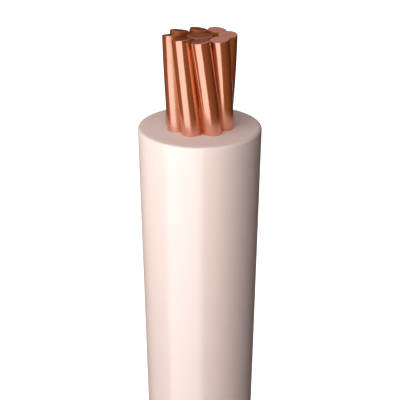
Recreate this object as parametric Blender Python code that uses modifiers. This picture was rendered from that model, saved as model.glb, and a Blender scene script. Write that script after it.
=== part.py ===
"""A 100 m coil of insulated single-core building wire, with its outer end standing up and stripped.

Metres, +Z up. The origin is on the coil's axis, on the floor that its straps lie on.
The wound turns are one turned solid with its bore, and every turn of its outline shows as a ridge.
The last turn lifts out of the coil at its outer rim and stands up. Its jacket is cut back from the strands.
"""

import math

import bmesh
import bpy
from mathutils import Vector

# The conductor: one thicker strand in the middle and a ring of strands laid round it.
OUTER_STRANDS = 8
STRAND_DIAMETER = 0.00105
STRAND_GAP = 0.00002
CENTRE_CLEARANCE = 0.0001
LAY_LENGTH = 0.072
FIRST_STRAND_ANGLE = math.radians(-85.5)
STRIPPED_LENGTH = 0.0051
TIP_SPREAD = 0.00005

# The jacket round the conductor.
JACKET_WALL = 0.00155
BORE_CLEARANCE = 0.00003
BORE_DEPTH = 0.008
BORE_END_GAP = 0.0003

# The winding: full layers alternate with layers of one turn fewer, which lie in their hollows.
INNER_RADIUS = 0.1175
LAYERS = 11
TURNS_IN_FULL_LAYER = 10
TURN_GAP = 0.0001

# The free end: it climbs out of the top turn of the outermost layer on an eased bend, then stands straight.
FREE_END_AZIMUTH = math.radians(90)
BEND_LENGTH = 0.070
STRAIGHT_LENGTH = 0.036
FIT_GAP = 0.0003

# The straps that hold the coil together.
STRAPS = 4
FIRST_STRAP_AZIMUTH = math.radians(45)
STRAP_WIDTH = 0.012
STRAP_THICKNESS = 0.0008
STRAP_GAP = 0.0003

# How finely round shapes are cut into flats.
COIL_FACETS = 32
TURN_STEP = math.radians(60)
BEND_STEPS = 14
STRAND_STEPS = 8
CORNER_STEPS = 4
TUBE_BEVEL_RESOLUTION = 4
BORE_SIDES = 32

# Sizes that follow from those above.
RING_RADIUS = (STRAND_DIAMETER + STRAND_GAP) / (2 * math.sin(math.pi / OUTER_STRANDS))
CENTRE_STRAND_DIAMETER = 2 * (RING_RADIUS - STRAND_DIAMETER / 2 - CENTRE_CLEARANCE)
BORE_RADIUS = RING_RADIUS + STRAND_DIAMETER / 2 + BORE_CLEARANCE
WIRE_RADIUS = BORE_RADIUS + JACKET_WALL
TURN_PITCH = 2 * WIRE_RADIUS + TURN_GAP
LAYER_PITCH = TURN_PITCH * math.sin(math.radians(60))
COIL_BOTTOM = STRAP_THICKNESS + STRAP_GAP
COIL_TOP = COIL_BOTTOM + TURNS_IN_FULL_LAYER * TURN_PITCH
OUTER_RADIUS = INNER_RADIUS + TURN_PITCH + (LAYERS - 1) * LAYER_PITCH
LAST_TURN_RADIUS = OUTER_RADIUS - TURN_PITCH / 2
LAST_TURN_HEIGHT = COIL_TOP - TURN_PITCH / 2
AXIS_OF_FREE_END = Vector(
    (
        LAST_TURN_RADIUS * math.cos(FREE_END_AZIMUTH),
        LAST_TURN_RADIUS * math.sin(FREE_END_AZIMUTH),
        0,
    )
)


def bend_outline():
    """Run and rise along the bend, from level to upright. Its curvature starts and ends at nothing."""
    points = [Vector((0, 0))]
    for step in range(BEND_STEPS):
        share = (step + 0.5) / BEND_STEPS
        heading = math.pi / 2 * (3 * share**2 - 2 * share**3)
        chord = Vector((math.cos(heading), math.sin(heading))) * BEND_LENGTH / BEND_STEPS
        points.append(points[-1] + chord)
    return points


BEND_OUTLINE = bend_outline()
JACKET_END_HEIGHT = LAST_TURN_HEIGHT + BEND_OUTLINE[-1].y + STRAIGHT_LENGTH


def clear_scene():
    """Removes whatever the scene holds."""
    for item in list(bpy.data.objects):
        bpy.data.objects.remove(item, do_unlink=True)


def new_collection(name, hidden=False):
    """A collection in the scene; the one for cutters is hidden from renders."""
    collection = bpy.data.collections.new(name)
    collection.hide_render = hidden
    bpy.context.scene.collection.children.link(collection)
    return collection


def new_material(name, colour, roughness, metallic=0.0):
    """A Principled material of one colour."""
    material = bpy.data.materials.new(name)
    material.use_nodes = True
    shader = material.node_tree.nodes["Principled BSDF"]
    shader.inputs["Base Color"].default_value = (*colour, 1)
    shader.inputs["Roughness"].default_value = roughness
    shader.inputs["Metallic"].default_value = metallic
    return material


def add_object(name, data, collection, material=None):
    """An object of that data in the collection."""
    item = bpy.data.objects.new(name, data)
    if material:
        data.materials.append(material)
    collection.objects.link(item)
    return item


def as_cutter(item):
    """Marks an object as a helper that is cut away and never shown."""
    item.hide_render = True
    item.display_type = "WIRE"
    return item


def subtract(item, cutter):
    """Cuts the cutter's shape out of the object."""
    modifier = item.modifiers.new("cut " + cutter.name, "BOOLEAN")
    modifier.operation = "DIFFERENCE"
    modifier.object = cutter


def smooth(mesh):
    """Shades round faces smooth and keeps the edges of flat ones."""
    mesh.shade_smooth()
    mesh.set_sharp_from_angle(angle=math.radians(50))


def tube_curve(name, points, radius, collection, material=None):
    """A round tube with closed ends along a line of points."""
    curve = bpy.data.curves.new(name, "CURVE")
    curve.dimensions = "3D"
    curve.bevel_depth = radius
    curve.bevel_resolution = TUBE_BEVEL_RESOLUTION
    curve.use_fill_caps = True
    spline = curve.splines.new("POLY")
    spline.points.add(len(points) - 1)
    for spot, point in zip(spline.points, points):
        spot.co = (*point, 1)
    return add_object(name, curve, collection, material)


def tube_mesh(name, points, radius, collection, material=None):
    """The same tube as a closed mesh, so that it can be cut or can cut."""
    curve = tube_curve(name + "_line", points, radius, collection)
    bpy.context.view_layer.update()
    evaluated = curve.evaluated_get(bpy.context.evaluated_depsgraph_get())
    mesh = bpy.data.meshes.new_from_object(evaluated)
    weld(mesh)
    item = add_object(name, mesh, collection, material)
    item.matrix_world = curve.matrix_world
    bpy.data.objects.remove(curve)
    return item


def weld(mesh):
    """Joins a tube's loose caps to its sides."""
    cage = bmesh.new()
    cage.from_mesh(mesh)
    bmesh.ops.remove_doubles(cage, verts=cage.verts, dist=0.000001)
    bmesh.ops.recalc_face_normals(cage, faces=cage.faces)
    cage.to_mesh(mesh)
    cage.free()


def turn_centre(layer, turn):
    """Radius and height of one turn; odd layers sit half a pitch higher and hold one turn fewer."""
    half_step = TURN_PITCH / 2 * (layer % 2)
    radius = INNER_RADIUS + TURN_PITCH / 2 + layer * LAYER_PITCH
    return Vector((radius, COIL_BOTTOM + TURN_PITCH / 2 + turn * TURN_PITCH + half_step))


def turns_in(layer):
    """How many turns a layer holds."""
    return TURNS_IN_FULL_LAYER - layer % 2


def rim_turns():
    """The turns that show, clockwise round the section: outer side down, bottom, inner side up, top."""
    last = LAYERS - 1
    outer = [turn_centre(last, turn) for turn in reversed(range(turns_in(last)))]
    bottom = [turn_centre(layer, 0) for layer in reversed(range(1, last))]
    inner = [turn_centre(0, turn) for turn in range(turns_in(0))]
    top = [turn_centre(layer, turns_in(layer) - 1) for layer in range(1, last)]
    return outer + bottom + inner + top


def ridge_points(previous, centre, following):
    """The outside arc of one turn, from where it meets the previous one to where it meets the next."""
    start = math.atan2(*reversed(previous - centre))
    sweep = (start - math.atan2(*reversed(following - centre))) % math.tau
    steps = max(2, round(sweep / TURN_STEP))
    angles = [start - sweep * step / steps for step in range(steps)]
    return [centre + TURN_PITCH / 2 * Vector((math.cos(a), math.sin(a))) for a in angles]


def build_wound_turns(collection, cutters, material):
    """The wound turns as one turned solid, with a groove where the last turn lifts out."""
    centres = rim_turns()
    profile = []
    for index, centre in enumerate(centres):
        following = centres[(index + 1) % len(centres)]
        profile += ridge_points(centres[index - 1], centre, following)
    mesh = bpy.data.meshes.new("wound_turns")
    edges = [(index, (index + 1) % len(profile)) for index in range(len(profile))]
    mesh.from_pydata([(point.x, 0, point.y) for point in profile], edges, [])
    coil = add_object("wound_turns", mesh, collection, material)
    screw = coil.modifiers.new("turned", "SCREW")
    screw.steps = COIL_FACETS
    screw.render_steps = COIL_FACETS
    screw.use_merge_vertices = True
    screw.merge_threshold = 0.00001
    screw.use_smooth_shade = False
    line = free_end_line()
    run_in = line[0] - FIT_GAP * (line[1] - line[0]).normalized()
    groove = tube_mesh("lift_groove", [run_in] + line, WIRE_RADIUS + FIT_GAP, cutters)
    subtract(coil, as_cutter(groove))
    return coil


def free_end_line():
    """The middle line of the free end: a bend that eases in and out, then a straight length."""
    line = []
    for run, rise in BEND_OUTLINE:
        azimuth = FREE_END_AZIMUTH - (BEND_OUTLINE[-1].x - run) / LAST_TURN_RADIUS
        side = Vector((math.cos(azimuth), math.sin(azimuth), 0)) * LAST_TURN_RADIUS
        line.append(side + Vector((0, 0, LAST_TURN_HEIGHT + rise)))
    line.append(AXIS_OF_FREE_END + Vector((0, 0, JACKET_END_HEIGHT)))
    return line


def build_jacket(collection, cutters, material):
    """The jacket of the free end, bored from its cut face for the strands."""
    jacket = tube_mesh("free_end_jacket", free_end_line(), WIRE_RADIUS, collection, material)
    depth = BORE_DEPTH + BORE_END_GAP
    bpy.ops.mesh.primitive_cylinder_add(vertices=BORE_SIDES, radius=BORE_RADIUS, depth=2 * depth)
    bore = bpy.context.object
    bore.name = "strand_bore"
    for owner in list(bore.users_collection):
        owner.objects.unlink(bore)
    cutters.objects.link(bore)
    bore.location = AXIS_OF_FREE_END + Vector((0, 0, JACKET_END_HEIGHT))
    subtract(jacket, as_cutter(bore))
    smooth(jacket.data)
    return jacket


def strand_line(first_angle):
    """The middle line of one ring strand: a left-hand helix that opens a little outside the jacket."""
    line = []
    for step in range(STRAND_STEPS + 1):
        height = -BORE_DEPTH + (BORE_DEPTH + STRIPPED_LENGTH) * step / STRAND_STEPS
        angle = first_angle - math.tau * (height - STRIPPED_LENGTH) / LAY_LENGTH
        reach = RING_RADIUS + TIP_SPREAD * max(0, height) / STRIPPED_LENGTH
        side = Vector((reach * math.cos(angle), reach * math.sin(angle), 0))
        line.append(AXIS_OF_FREE_END + side + Vector((0, 0, JACKET_END_HEIGHT + height)))
    return line


def build_strands(collection, material):
    """The centre strand and the ring of strands laid round it."""
    centre_line = [
        AXIS_OF_FREE_END + Vector((0, 0, JACKET_END_HEIGHT - BORE_DEPTH)),
        AXIS_OF_FREE_END + Vector((0, 0, JACKET_END_HEIGHT + STRIPPED_LENGTH)),
    ]
    tube_curve("centre_strand", centre_line, CENTRE_STRAND_DIAMETER / 2, collection, material)
    for number in range(OUTER_STRANDS):
        first_angle = FIRST_STRAND_ANGLE + math.tau * number / OUTER_STRANDS
        name = f"outer_strand_{number + 1}"
        tube_curve(name, strand_line(first_angle), STRAND_DIAMETER / 2, collection, material)


def rounded_outline(low, high, corner_radius):
    """The points of a rectangle with round corners, anticlockwise."""
    inset = Vector((corner_radius, corner_radius))
    inner_low, inner_high = low + inset, high - inset
    corners = [
        (inner_high.x, inner_high.y),
        (inner_low.x, inner_high.y),
        (inner_low.x, inner_low.y),
        (inner_high.x, inner_low.y),
    ]
    points = []
    for quarter, (x, y) in enumerate(corners):
        for step in range(CORNER_STEPS + 1):
            angle = math.pi / 2 * (quarter + step / CORNER_STEPS)
            points.append(
                (x + corner_radius * math.cos(angle), y + corner_radius * math.sin(angle))
            )
    return points


def build_straps(collection, material):
    """Flat straps round the bundle of turns. The coil's flats come nearer its axis beside their corners."""
    facet_rise = STRAP_WIDTH / 2 * math.tan(math.pi / COIL_FACETS)
    low = Vector((INNER_RADIUS - facet_rise - STRAP_GAP, COIL_BOTTOM - STRAP_GAP))
    high = Vector((OUTER_RADIUS + STRAP_GAP, COIL_TOP + STRAP_GAP))
    corner_radius = TURN_PITCH / 2 + STRAP_GAP
    wall = Vector((STRAP_THICKNESS, STRAP_THICKNESS))
    outlines = [
        rounded_outline(low, high, corner_radius),
        rounded_outline(low - wall, high + wall, corner_radius + STRAP_THICKNESS),
    ]
    for number in range(STRAPS):
        name = f"strap_{number + 1}"
        curve = bpy.data.curves.new(name, "CURVE")
        curve.dimensions = "2D"
        curve.fill_mode = "BOTH"
        curve.extrude = STRAP_WIDTH / 2
        for outline in outlines:
            spline = curve.splines.new("POLY")
            spline.points.add(len(outline) - 1)
            spline.use_cyclic_u = True
            for spot, (radius, height) in zip(spline.points, outline):
                spot.co = (radius, height, 0, 1)
        strap = add_object(name, curve, collection, material)
        azimuth = FIRST_STRAP_AZIMUTH + math.tau * number / STRAPS
        strap.rotation_euler = (math.pi / 2, 0, azimuth)


def main():
    """Builds every piece of the coil."""
    clear_scene()
    parts = new_collection("building_wire_coil")
    cutters = new_collection("cutters", hidden=True)
    pvc = new_material("white_jacket", (0.86, 0.81, 0.78), 0.35)
    copper = new_material("bare_copper", (0.80, 0.40, 0.25), 0.25, metallic=1.0)
    strapping = new_material("black_strapping", (0.03, 0.03, 0.03), 0.5)
    build_wound_turns(parts, cutters, pvc)
    build_jacket(parts, cutters, pvc)
    build_strands(parts, copper)
    build_straps(parts, strapping)


main()
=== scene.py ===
"""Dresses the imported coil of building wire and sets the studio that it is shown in.

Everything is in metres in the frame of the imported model: the origin is on the coil's axis, on the floor.
The wire's sizes and its route repeat those of the part's source.
"""

import logging
import math
from dataclasses import dataclass, field
from enum import Enum
from typing import Any, Sequence

import bpy
import numpy as np
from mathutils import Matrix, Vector


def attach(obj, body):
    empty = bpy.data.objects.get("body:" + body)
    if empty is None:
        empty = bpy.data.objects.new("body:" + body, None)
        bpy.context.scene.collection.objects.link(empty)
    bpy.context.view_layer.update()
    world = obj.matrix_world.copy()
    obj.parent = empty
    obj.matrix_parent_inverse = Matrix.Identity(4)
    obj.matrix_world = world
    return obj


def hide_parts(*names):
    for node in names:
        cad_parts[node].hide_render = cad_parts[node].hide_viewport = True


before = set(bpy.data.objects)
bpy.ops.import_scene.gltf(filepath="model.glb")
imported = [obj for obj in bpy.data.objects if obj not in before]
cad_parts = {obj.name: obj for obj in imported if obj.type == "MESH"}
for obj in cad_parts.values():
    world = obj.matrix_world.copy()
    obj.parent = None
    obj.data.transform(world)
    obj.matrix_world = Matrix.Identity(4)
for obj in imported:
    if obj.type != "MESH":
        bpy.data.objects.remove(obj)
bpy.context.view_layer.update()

log = logging.getLogger("wire_coil")

TAU = math.tau
UP = np.array([0.0, 0.0, 1.0])
LAID = "laid"
Colour = tuple[float, float, float]
Section = tuple[np.ndarray, np.ndarray]  # points in the frame, and their places on the straight wire
Waves = tuple[tuple[float, float, float], ...]  # the rate, phase and size of each


class Slot(Enum):
    """The record's material slots."""

    JACKET = "white_jacket"
    COPPER = "bare_copper"
    STRAPPING = "strapping"


class Passage(Enum):
    """How one turn gives way to the next: its span of the crossing sector, as shares of it."""

    RISE = (0.60, 1.00)
    SINK_AT_TOP = (0.00, 0.36)
    SINK_AT_BOTTOM = (1.05, 1.40)
    OUTWARD_AT_TOP = (0.22, 0.64)
    OUTWARD_AT_BOTTOM = (0.86, 1.22)


def smooth_step(share: np.ndarray) -> np.ndarray:
    """Eases a share that runs from 0 to 1."""
    held = np.clip(share, 0.0, 1.0)
    return held * held * (3.0 - 2.0 * held)


def unit(rows: np.ndarray) -> np.ndarray:
    """Scales each row to a length of one."""
    return rows / np.linalg.norm(rows, axis=-1, keepdims=True)


def wave_sum(waves: Waves, azimuth: np.ndarray) -> np.ndarray:
    """What some waves round the coil add up to at each azimuth."""
    return sum(size * np.sin(rate * azimuth + phase) for rate, phase, size in waves)


# Sizes of the wire and of the coil


@dataclass(frozen=True)
class WireGauge:
    """The wire's cross-section."""

    outer_strands: int = 8
    strand_diameter: float = 0.00105
    strand_gap: float = 0.00002
    centre_clearance: float = 0.0001
    bore_clearance: float = 0.00003
    jacket_wall: float = 0.00155

    @property
    def strand_radius(self) -> float:
        """Half of a ring strand's diameter."""
        return self.strand_diameter / 2

    @property
    def ring_radius(self) -> float:
        """Radius of the ring that the outer strands' middles lie on."""
        spacing = self.strand_diameter + self.strand_gap
        return spacing / (2 * math.sin(math.pi / self.outer_strands))

    @property
    def centre_radius(self) -> float:
        """Radius of the strand in the middle."""
        return self.ring_radius - self.strand_radius - self.centre_clearance

    @property
    def radius(self) -> float:
        """Outer radius of the jacket."""
        return self.ring_radius + self.strand_radius + self.bore_clearance + self.jacket_wall


@dataclass(frozen=True)
class CoilLayout:
    """Where the turns lie in the coil, and the route of the free end out of it."""

    gauge: WireGauge = field(default_factory=WireGauge)
    inner_radius: float = 0.1175
    layers: int = 11
    turns_in_full_layer: int = 10
    turn_gap: float = 0.0001
    strap_thickness: float = 0.0008
    strap_gap: float = 0.0003
    free_end_azimuth: float = math.radians(90)
    bend_length: float = 0.070
    bend_steps: int = 56
    straight_length: float = 0.036
    crossing_start: float = math.radians(72)
    crossing_width: float = math.radians(44)

    @property
    def pitch(self) -> float:
        """Distance from one turn to the next that touches it."""
        return 2 * self.gauge.radius + self.turn_gap

    @property
    def layer_pitch(self) -> float:
        """Distance from one layer to the next, in which the turns lie in hollows."""
        return self.pitch * math.sin(math.radians(60))

    @property
    def bottom(self) -> float:
        """Height of the lowest turns' underside."""
        return self.strap_thickness + self.strap_gap

    @property
    def top(self) -> float:
        """Height of the highest turns' upper side."""
        return self.bottom + self.turns_in_full_layer * self.pitch

    @property
    def outer_radius(self) -> float:
        """Radius over the outermost layer."""
        return self.inner_radius + self.pitch + (self.layers - 1) * self.layer_pitch

    @property
    def last_turn_radius(self) -> float:
        """Radius of the middle of the last turn."""
        return self.outer_radius - self.pitch / 2

    def slots(self) -> list[tuple[int, int]]:
        """Layer and level of every turn, in the order of winding: up one layer and down the next."""
        order: list[tuple[int, int]] = []
        for layer in range(self.layers):
            levels = range(self.turns_in_full_layer - layer % 2)
            order += [(layer, level) for level in (reversed(levels) if layer % 2 else levels)]
        return order

    def slot_place(self, layer: int, level: int) -> tuple[float, float]:
        """Radius and height of a turn's middle."""
        radius = self.inner_radius + self.pitch / 2 + layer * self.layer_pitch
        return radius, self.bottom + self.pitch * (level + 0.5 + 0.5 * (layer % 2))

    def bend(self) -> np.ndarray:
        """Rows of run and rise along the bend, whose curvature eases in and out."""
        share = (np.arange(self.bend_steps) + 0.5) / self.bend_steps
        heading = math.pi / 2 * smooth_step(share)
        chords = np.column_stack([np.cos(heading), np.sin(heading)]) * self.bend_length / self.bend_steps
        return np.vstack([np.zeros(2), np.cumsum(chords, axis=0)])

    def free_end_route(self, straight_steps: int) -> np.ndarray:
        """The middle line of the free end, from the last turn to the cut of the jacket."""
        run, rise = self.bend().T
        azimuth = self.free_end_azimuth - (run[-1] - run) / self.last_turn_radius
        side = self.last_turn_radius * np.column_stack([np.cos(azimuth), np.sin(azimuth)])
        bend = np.column_stack([side, self.top - self.pitch / 2 + rise])
        height = np.linspace(0, self.straight_length, straight_steps + 1)[1:]
        return np.vstack([bend, bend[-1] + UP * height[:, None]])

    @property
    def rim(self) -> np.ndarray:
        """Middle of the jacket's cut face."""
        return self.free_end_route(1)[-1]

    @property
    def lift_azimuth(self) -> float:
        """Azimuth at which the free end leaves the last turn."""
        return self.free_end_azimuth - self.bend()[-1, 0] / self.last_turn_radius


# Meshes


def make_object(
    name: str, mesh: bpy.types.Mesh, materials: Sequence[bpy.types.Material]
) -> bpy.types.Object:
    """Puts a mesh in the scene as an object with these materials."""
    for material in materials:
        mesh.materials.append(material)
    made = bpy.data.objects.new(name, mesh)
    bpy.context.scene.collection.objects.link(made)
    return made


class MeshDraft:
    """Gathers the points and faces of one mesh, with each point's place on the straight wire."""

    def __init__(self) -> None:
        """Starts with nothing."""
        self.points: list[np.ndarray] = []
        self.laid: list[np.ndarray] = []
        self.faces: list[tuple[int, ...]] = []
        self.finishes: list[int] = []
        self.count = 0

    def ring(self, points: np.ndarray, laid: np.ndarray | None = None) -> np.ndarray:
        """Adds a row of points.

        Args:
            points: their places in the frame.
            laid: their places on the straight wire, or None where they are the same.

        Returns:
            The indices of the points.
        """
        self.points.append(points)
        self.laid.append(points if laid is None else laid)
        made = np.arange(self.count, self.count + len(points))
        self.count += len(points)
        return made

    def add_faces(self, finish: int, *corners: np.ndarray) -> None:
        """Adds a face for each set of corners that stand at the same place in their rows."""
        made = list(zip(*(row.tolist() for row in corners)))
        self.faces += made
        self.finishes += [finish] * len(made)

    def bridge(self, lower: np.ndarray, upper: np.ndarray, finish: int = 0) -> None:
        """Joins two closed rings that run anticlockwise, seen from the upper one."""
        self.add_faces(finish, lower, np.roll(lower, -1), np.roll(upper, -1), upper)

    def loft(self, rings: Sequence[np.ndarray]) -> None:
        """Joins each ring to the next."""
        for lower, upper in zip(rings, rings[1:]):
            self.bridge(lower, upper)

    def fan(self, ring: np.ndarray, middle: Section, finish: int = 0, flipped: bool = False) -> None:
        """Closes a ring with triangles to a new point in its middle."""
        centre = np.repeat(self.ring(*middle), len(ring))
        following = np.roll(ring, -1)
        self.add_faces(finish, *((following, ring) if flipped else (ring, following)), centre)

    def build(self, name: str, sharp_angle: float = 40.0) -> bpy.types.Mesh:
        """Makes the mesh, smooth but for edges past the given angle in degrees."""
        mesh = bpy.data.meshes.new(name)
        mesh.from_pydata(np.vstack(self.points).tolist(), [], self.faces)
        mesh.polygons.foreach_set("material_index", self.finishes)
        laid = mesh.attributes.new(LAID, "FLOAT_VECTOR", "POINT")
        laid.data.foreach_set("vector", np.vstack(self.laid).astype(np.float32).ravel())
        mesh.shade_smooth()
        mesh.set_sharp_from_angle(angle=math.radians(sharp_angle))
        mesh.validate()
        return mesh


@dataclass
class Sweep:
    """A line in space with a pair of side axes at each of its points."""

    centres: np.ndarray
    first: np.ndarray
    second: np.ndarray
    along: np.ndarray

    @classmethod
    def make(cls, centres: np.ndarray, towards: np.ndarray, start: float = 0.0) -> "Sweep":
        """Sets the side axes square to the line.

        Args:
            centres: the line's points.
            towards: for each point, a direction that the first side axis keeps close to.
            start: the length of wire that lies before the first point.

        Returns:
            The line with its axes and the length of wire at each point.
        """
        tangent = unit(np.gradient(centres, axis=0))
        first = unit(towards - tangent * np.sum(towards * tangent, axis=1, keepdims=True))
        second = np.cross(tangent, first)
        steps = np.linalg.norm(np.diff(centres, axis=0), axis=1)
        return cls(centres, first, second, start + np.concatenate([[0], np.cumsum(steps)]))

    def section(self, index: int, outline: np.ndarray, lift: float = 0.0) -> Section:
        """Places a flat outline square to the line.

        Args:
            index: which of the line's points it stands on.
            outline: rows of distances along the two side axes.
            lift: how far it is moved along the line.

        Returns:
            The points in the frame, and their places on the straight wire.
        """
        first, second = self.first[index], self.second[index]
        sides = self.centres[index] + outline[:, :1] * first + outline[:, 1:] * second
        depth = np.full((len(outline), 1), self.along[index] + lift)
        return sides + lift * np.cross(first, second), np.hstack([outline, depth])

    def middle(self, index: int, lift: float = 0.0) -> Section:
        """The line's own point, moved along it, as a section."""
        return self.section(index, np.zeros((1, 2)), lift)


def circle(radius: float, sides: int) -> np.ndarray:
    """Rows of the points of a circle, anticlockwise."""
    angle = np.arange(sides) * TAU / sides
    return radius * np.column_stack([np.cos(angle), np.sin(angle)])


def add_tube(draft: MeshDraft, sweep: Sweep, radius: float, sides: int) -> None:
    """Adds a round tube along a line, closed at both ends."""
    outline = circle(radius, sides)
    rings = [draft.ring(*sweep.section(index, outline)) for index in range(len(sweep.centres))]
    draft.loft(rings)
    draft.fan(rings[0], sweep.middle(0), flipped=True)
    draft.fan(rings[-1], sweep.middle(-1))


# Shader nodes


class NodeGraph:
    """Adds nodes to a node tree and links them in one call."""

    def __init__(self, tree: bpy.types.NodeTree) -> None:
        """Works on the given tree."""
        self.tree = tree

    def add(self, kind: str, settings: dict[str, Any] | None = None, **inputs: Any) -> bpy.types.Node:
        """Adds one node.

        Args:
            kind: the node's type, without its ShaderNode prefix.
            settings: values of the node's own properties.
            inputs: what goes into its sockets, as in fill.

        Returns:
            The node.
        """
        node = self.tree.nodes.new("ShaderNode" + kind)
        for key, value in (settings or {}).items():
            setattr(node, key, value)
        self.fill(node, **inputs)
        return node

    def fill(self, node: bpy.types.Node, **inputs: Any) -> None:
        """Sets a node's inputs, or links them.

        Args:
            node: the node.
            inputs: sockets by name, with _ for a space, or by number, as in in_0. Each takes a value or
                another node's output.
        """
        for key, value in inputs.items():
            name = key.replace("_", " ")
            if key.startswith("in_"):
                socket = node.inputs[int(key[3:])]
            else:
                socket = next(s for s in node.inputs if s.enabled and s.name == name)
            if isinstance(value, bpy.types.NodeSocket):
                self.tree.links.new(value, socket)
            else:
                socket.default_value = (*value, 1.0) if socket.type == "RGBA" else value

    def math(self, operation: str, *values: Any) -> bpy.types.NodeSocket:
        """The result of a Math node."""
        inputs = {f"in_{number}": value for number, value in enumerate(values)}
        return self.add("Math", {"operation": operation}, **inputs).outputs[0]

    def blend(self, factor: Any, first: Any, second: Any) -> bpy.types.NodeSocket:
        """A mix of two colours."""
        node = self.add("Mix", {"data_type": "RGBA"}, in_0=factor, in_6=first, in_7=second)
        return node.outputs[2]

    def remap(
        self, value: Any, low: float, high: float, new_low: float = 0.0, new_high: float = 1.0
    ) -> bpy.types.NodeSocket:
        """A value eased from one range to another."""
        spans = {"From_Min": low, "From_Max": high, "To_Min": new_low, "To_Max": new_high}
        settings = {"interpolation_type": "SMOOTHSTEP"}
        return self.add("MapRange", settings, Value=value, **spans).outputs[0]

    def ramp(self, value: Any, stops: Sequence[tuple[float, Colour]]) -> bpy.types.NodeSocket:
        """A colour that runs through stops, each a value from 0 to 1 and a colour."""
        node = self.add("ValToRGB", Fac=value)
        elements = node.color_ramp.elements
        while len(elements) < len(stops):
            elements.new(1.0)
        for element, (position, colour) in zip(elements, stops):
            element.position, element.color = position, (*colour, 1.0)
        return node.outputs["Color"]


class EffectGroup:
    """A shader node group that several finishes share. Its input Place takes points on the wire."""

    def __init__(self, name: str, outputs: Sequence[str], **inputs: float) -> None:
        """Makes the group with its sockets.

        Args:
            name: the group's name.
            outputs: the names of its outputs.
            inputs: default values of its other inputs by name.
        """
        self.tree = bpy.data.node_groups.new(name, "ShaderNodeTree")
        self.tree.interface.new_socket("Place", in_out="INPUT", socket_type="NodeSocketVector")
        for key, value in inputs.items():
            socket = self.tree.interface.new_socket(key, in_out="INPUT", socket_type="NodeSocketFloat")
            socket.default_value = value
        for key in outputs:
            self.tree.interface.new_socket(key, in_out="OUTPUT", socket_type="NodeSocketFloat")
        self.graph = NodeGraph(self.tree)
        self.taken = self.tree.nodes.new("NodeGroupInput").outputs
        self.given = self.tree.nodes.new("NodeGroupOutput").inputs

    def give(self, name: str, value: bpy.types.NodeSocket) -> None:
        """Links a result to an output."""
        self.tree.links.new(value, self.given[name])


@dataclass
class SharedEffects:
    """The node groups, each made once."""

    streaks: bpy.types.NodeTree
    mottle: bpy.types.NodeTree
    cut_marks: bpy.types.NodeTree

    @classmethod
    def make(cls) -> "SharedEffects":
        """Builds every group."""
        return cls(cls.make_streaks(), cls.make_mottle(), cls.make_cut_marks())

    @staticmethod
    def make_streaks() -> bpy.types.NodeTree:
        """Fine lines along the wire, as a die leaves them. The third axis of Place runs along it."""
        effect = EffectGroup("drawn_streaks", ("Mask", "Height"), Width=0.00005, Length=0.003)
        graph, taken = effect.graph, effect.taken
        parts = graph.add("SeparateXYZ", Vector=taken["Place"]).outputs
        sizes = (taken["Width"], taken["Width"], taken["Length"])
        x, y, z = (graph.math("DIVIDE", part, size) for part, size in zip(parts, sizes))
        place = graph.add("CombineXYZ", X=x, Y=y, Z=z).outputs[0]
        noise = graph.add("TexNoise", Vector=place, Scale=1.0, Detail=2.0, Roughness=0.55).outputs[0]
        effect.give("Mask", graph.remap(noise, 0.36, 0.66))
        effect.give("Height", noise)
        return effect.tree

    @staticmethod
    def make_mottle() -> bpy.types.NodeTree:
        """Soft uneven patches with finer specks in them."""
        effect = EffectGroup("soft_mottle", ("Patches", "Specks"), Patch=0.004, Speck=0.0003)
        graph, taken = effect.graph, effect.taken
        for name, size in (("Patches", "Patch"), ("Specks", "Speck")):
            scale = graph.math("DIVIDE", 1.0, taken[size])
            noise = graph.add("TexNoise", Vector=taken["Place"], Scale=scale, Detail=3.0).outputs[0]
            effect.give(name, graph.remap(noise, 0.3, 0.7))
        return effect.tree

    @staticmethod
    def make_cut_marks() -> bpy.types.NodeTree:
        """Slightly curved parallel lines, as a blade or shear leaves them on a cut face."""
        effect = EffectGroup("cut_marks", ("Mask", "Height"), Spacing=0.0001, Wander=2.0)
        graph, taken = effect.graph, effect.taken
        scale = graph.math("DIVIDE", 1.0, taken["Spacing"])
        turned = graph.add("Mapping", Vector=taken["Place"], Rotation=(0.0, 0.0, 0.6)).outputs[0]
        wave = graph.add(
            "TexWave",
            {"wave_type": "BANDS", "bands_direction": "X"},
            Vector=turned,
            Scale=graph.math("MULTIPLY", scale, 0.3),
            Distortion=taken["Wander"],
            Detail=3.0,
            Detail_Scale=0.4,
        ).outputs["Fac"]
        noise = graph.add("TexNoise", Vector=turned, Scale=scale, Detail=4.0).outputs[0]
        height = graph.math("MULTIPLY_ADD", wave, 0.6, graph.math("MULTIPLY", noise, 0.4))
        effect.give("Height", height)
        effect.give("Mask", graph.remap(height, 0.25, 0.75))
        return effect.tree


# Finishes


def new_material(name: str) -> tuple[bpy.types.Material, NodeGraph, bpy.types.Node]:
    """A material with its Principled shader linked to its output."""
    material = bpy.data.materials.new(name)
    material.use_nodes = True
    tree = material.node_tree
    return material, NodeGraph(tree), tree.nodes["Principled BSDF"]


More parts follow.
